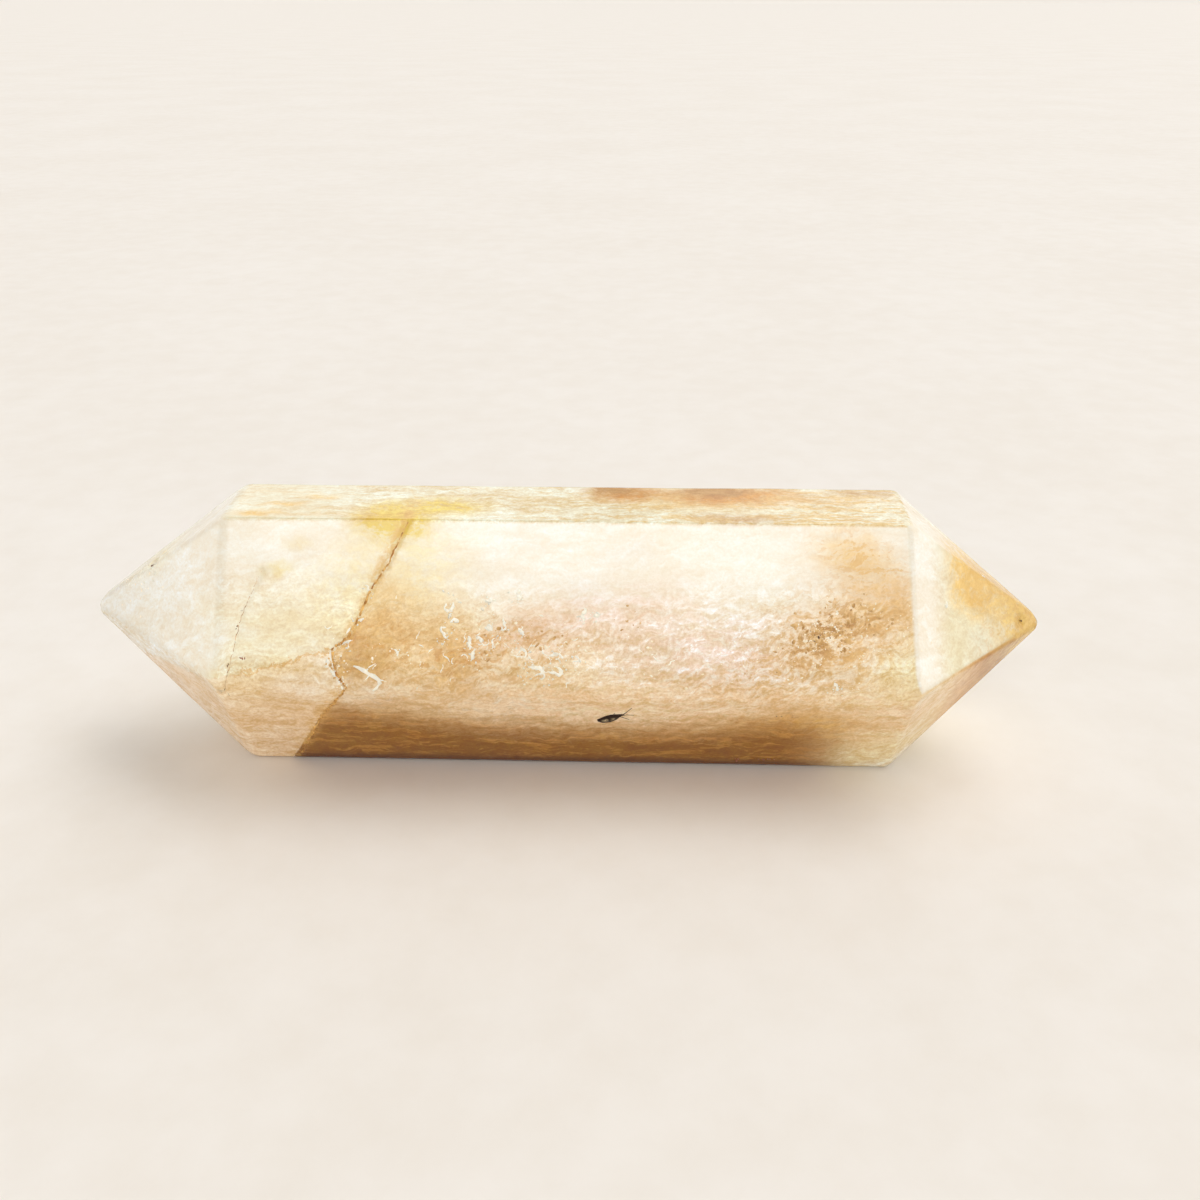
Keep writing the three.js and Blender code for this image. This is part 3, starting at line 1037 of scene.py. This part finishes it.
# The big white hook beside the main crack: widths and places of its stem and twigs.
HOOK = [
    ((0.07, 0.15, 0.22, 0.16, 0.25, 0.20, 0.22, 0.16, 0.07), (
        (-17.5, -10.4, 13.5), (-17.1, -10.5, 13.4), (-16.7, -10.6, 13.2), (-16.2, -10.8, 12.9),
        (-15.8, -10.9, 12.7), (-15.4, -11.1, 12.4), (-15.3, -11.3, 12.0), (-15.7, -11.3, 11.4),
        (-16.0, -11.1, 11.1))),
    ((0.12, 0.07, 0.03), ((-16.4, -10.7, 13.2), (-16.1, -10.5, 13.5), (-15.6, -10.3, 13.7))),
    ((0.10, 0.06, 0.03), ((-16.1, -10.8, 12.9), (-16.4, -11.0, 12.5), (-16.6, -11.2, 12.3))),
    ((0.10, 0.06, 0.03), ((-15.4, -11.1, 12.4), (-15.0, -11.2, 12.3), (-14.7, -11.3, 12.2))),
    # crumbs of the same quartz on the crack's lip
    ((0.04, 0.12, 0.09, 0.17, 0.12, 0.15, 0.05), (
        (-19.5, -9.8, 14.7), (-19.5, -10.1, 14.1), (-19.2, -10.5, 13.4), (-19.0, -10.9, 12.8),
        (-18.8, -11.2, 12.2), (-18.6, -11.2, 11.4), (-18.5, -10.9, 10.8))),
    ((0.04, 0.11, 0.04), ((-18.3, -9.1, 15.7), (-18.0, -8.9, 16.1), (-17.8, -8.7, 16.4))),
]
BROWN_GRAINS = [
    ((22.3, -8.9, 16.3), (1.4, 1.0, 0.9), 90),
    ((25.2, -8.0, 17.4), (1.8, 1.0, 0.8), 70),
    ((20.4, -9.6, 14.8), (1.2, 1.0, 0.8), 20),
    ((-2.6, -9.2, 15.6), (2.2, 1.0, 0.3), 24),
    ((-6.6, -9.6, 14.6), (1.4, 1.0, 0.5), 14),
    ((6.4, -8.2, 17.5), (1.0, 1.0, 0.25), 10),
    ((-18.8, -10.4, 13.6), (0.6, 0.8, 0.9), 30),
]
PALE_GRAINS = [
    ((22.3, -8.9, 16.3), (1.0, 1.0, 0.8), 70),
    ((25.0, -8.6, 16.4), (3.6, 1.6, 2.4), 120),
    ((17.0, -10.6, 13.2), (5.0, 1.6, 1.4), 60),
    ((-4.0, -9.6, 14.6), (7.0, 1.4, 1.6), 80),
    ((-18.5, -11.0, 12.6), (0.4, 0.6, 0.9), 26),
    ((-19.0, -10.2, 14.2), (0.4, 0.6, 0.6), 12),
    ((-38.5, -2.0, 16.8), (2.4, 1.0, 1.4), 30),
]
DARK_GRAINS = [
    ((-27.2, -8.1, 17.5), (0.05, 0.05, 0.05), 2), ((-27.5, -8.9, 16.2), (0.05, 0.1, 0.2), 3),
    ((-27.7, -9.6, 15.0), (0.05, 0.1, 0.2), 2), ((-28.4, -10.6, 13.3), (0.1, 0.1, 0.2), 4),
    ((-28.8, -10.7, 10.4), (0.1, 0.1, 0.1), 2), ((-32.0, -7.0, 8.0), (0.1, 0.1, 0.1), 2),
    ((41.8, -1.4, 13.8), (0.08, 0.08, 0.15), 6), ((-37.4, -1.2, 18.7), (0.25, 0.1, 0.1), 5),
    ((22.0, -9.0, 16.1), (0.8, 0.6, 0.5), 12), ((19.8, -9.8, 8.4), (0.5, 0.1, 0.15), 6),
]
RUST_GRAINS = [
    ((16.3, -5.8, 1.1), (0.18, 0.2, 0.35), 14), ((19.3, -5.9, 1.2), (0.8, 0.05, 0.08), 10),
    ((-27.0, -10.2, 14.0), (0.35, 0.05, 0.06), 6),
]
# The dark mineral's threads: their widths and where they run.
SPECK = [
    ((0.20, 0.46, 0.58, 0.52, 0.30, 0.10), (
        (3.3, -9.0, 7.3), (3.7, -9.1, 7.35), (4.2, -9.2, 7.6), (4.7, -9.4, 7.9), (5.1, -9.5, 8.1),
        (5.5, -9.6, 8.3))),
    ((0.07, 0.04, 0.03), ((5.5, -9.5, 8.2), (5.9, -9.7, 8.8), (6.3, -10.0, 9.4))),
    ((0.06, 0.04, 0.03), ((5.3, -9.4, 8.1), (5.9, -9.5, 8.3), (6.5, -9.5, 8.2))),
    ((0.05, 0.04, 0.03), ((5.2, -9.4, 8.0), (5.7, -9.3, 7.7), (6.1, -9.2, 7.5))),
    ((0.05, 0.03), ((4.6, -9.3, 8.0), (4.8, -9.6, 8.5))),
]
# Scattered grains: piece, mineral, seed, clusters, and the smallest and biggest size.
GRAINS = [
    ("brown_grains", "brown_grain", 11, BROWN_GRAINS, (0.10, 0.28)),
    ("pale_grains", "pale_grain", 12, PALE_GRAINS, (0.06, 0.18)),
    ("dark_grains", "dark_grain", 13, DARK_GRAINS, (0.07, 0.14)),
    ("rust_grains", "rust_grain", 14, RUST_GRAINS, (0.08, 0.18)),
]


# ---- room ----

FLOOR_DARK = (0.80, 0.755, 0.70)
FLOOR_LIGHT = (0.84, 0.805, 0.765)
FLOOR_SIZE = 100.0  # metres

# Soft lights, as patches of the room's sky: azimuth from the front towards +X, elevation, half
# the width and height, how soft the rim is, all in degrees, and how bright it is.
WINDOWS = [
    (0.0, 40.0, 62.0, 22.0, 12.0, 0.72),
    (1.5, 41.0, 18.0, 7.0, 5.0, 4.8),
    (-20.0, 41.0, 3.5, 7.0, 2.5, 5.0),
    (124.0, 62.0, 55.0, 16.0, 8.0, 3.6),
    (88.0, 12.0, 14.0, 10.0, 4.0, 1.6),
    (-88.0, 12.0, 14.0, 10.0, 4.0, 1.9),
    (148.0, 24.0, 31.0, 12.0, 6.0, 1.3),
    (-148.0, 24.0, 31.0, 12.0, 6.0, 1.3),
]
WINDOW_TINT = (1.0, 0.98, 0.945)
WALL = (0.88, 0.835, 0.765)  # the room's own glow at eye level
CEILING = (0.27, 0.265, 0.26)
WALL_TOP = (4, 22)  # elevations that the wall ends between
DEGREES = 180 / math.pi

SENSOR = 36.0
LENS = 34.65
NEAREST = 0.005  # metres
CAMERA = (5.18, -94.78, 63.93)
HEADING = 1.13  # turned left from straight at the stone
DOWN = 27.44
ROLL = 0.14


def make_floor():
    look = new_look("pale_floor")
    wide = look.grain(60.0, detail=4, roughness=0.6)
    small = look.grain(6.0, detail=4, roughness=0.6)
    mottle = (wide * 0.5 + small * 0.5).rise(0.3, 0.7)
    look.show(Surface=look.node("ShaderNodeBsdfPrincipled", sockets={
        "Base Color": look.mix(mottle, FLOOR_DARK, FLOOR_LIGHT), "Roughness": 0.75,
    }))
    bm = bmesh.new()
    bmesh.ops.create_grid(bm, x_segments=1, y_segments=1, size=FLOOR_SIZE)
    mesh = bpy.data.meshes.new("floor")
    bm.to_mesh(mesh)
    bm.free()
    floor = bpy.data.objects.new("floor", mesh)
    mesh.materials.append(look.material)
    bpy.context.scene.collection.objects.link(floor)


def make_light():
    """A pale room all round with soft windows in front, above the camera."""
    world = bpy.data.worlds.new("room")
    look = Look(world, "Generated", 1.0)
    x, y, z = look.axes()
    azimuth = x.maths("ARCTAN2", x, y * -1) * DEGREES
    elevation = z.maths("ARCSINE", z) * DEGREES
    colour = look.mix(elevation.rise(*WALL_TOP), WALL, CEILING)
    for centre, height, wide, high, soft, bright in WINDOWS:
        beside = (azimuth - centre).whole().fall(wide - soft, wide + soft)
        above = (elevation - height).whole().fall(high - soft, high + soft)
        colour = look.mix(beside * above, colour, [bright * tint for tint in WINDOW_TINT])
    sky = look.node("ShaderNodeBackground", sockets={"Color": colour})
    look.show("ShaderNodeOutputWorld", Surface=sky)
    bpy.context.scene.world = world


def make_camera():
    """Low in front of the stone and near it, looking down at it."""
    data = bpy.data.cameras.new("camera")
    data.sensor_width = SENSOR
    data.lens = LENS
    data.clip_start = NEAREST
    camera = bpy.data.objects.new("camera", data)
    heading = Matrix.Rotation(math.radians(HEADING), 4, "Z")
    tilt = Matrix.Rotation(math.radians(90 - DOWN), 4, "X")
    roll = Matrix.Rotation(math.radians(ROLL), 4, "Z")
    camera.matrix_world = Matrix.Translation(Vector(CAMERA) * MM) @ heading @ tilt @ roll
    bpy.context.scene.collection.objects.link(camera)
    bpy.context.scene.camera = camera


make_camera()
make_floor()
make_light()
skin = make_stone(stone_look())
make_crack(
    skin, "main_crack", mineral_look("healed_crack"), MAIN_CRACK,
    depth=7.0, lean=0.8, widths=(0.03, 0.16), gaps=0.10, seed=21,
)
make_crack(
    skin, "left_crack", mineral_look("thin_crack"), LEFT_CRACK,
    depth=4.0, lean=-0.4, widths=(0.015, 0.045), gaps=0.25, seed=22,
)
make_flecks(skin, mineral_look("white_quartz"))
for name, mineral, seed, clusters, sizes in GRAINS:
    scatter(skin, name, mineral_look(mineral), seed, clusters, sizes)
make_speck(skin, sliver_look())

bpy.context.scene.view_settings.view_transform = "Standard"
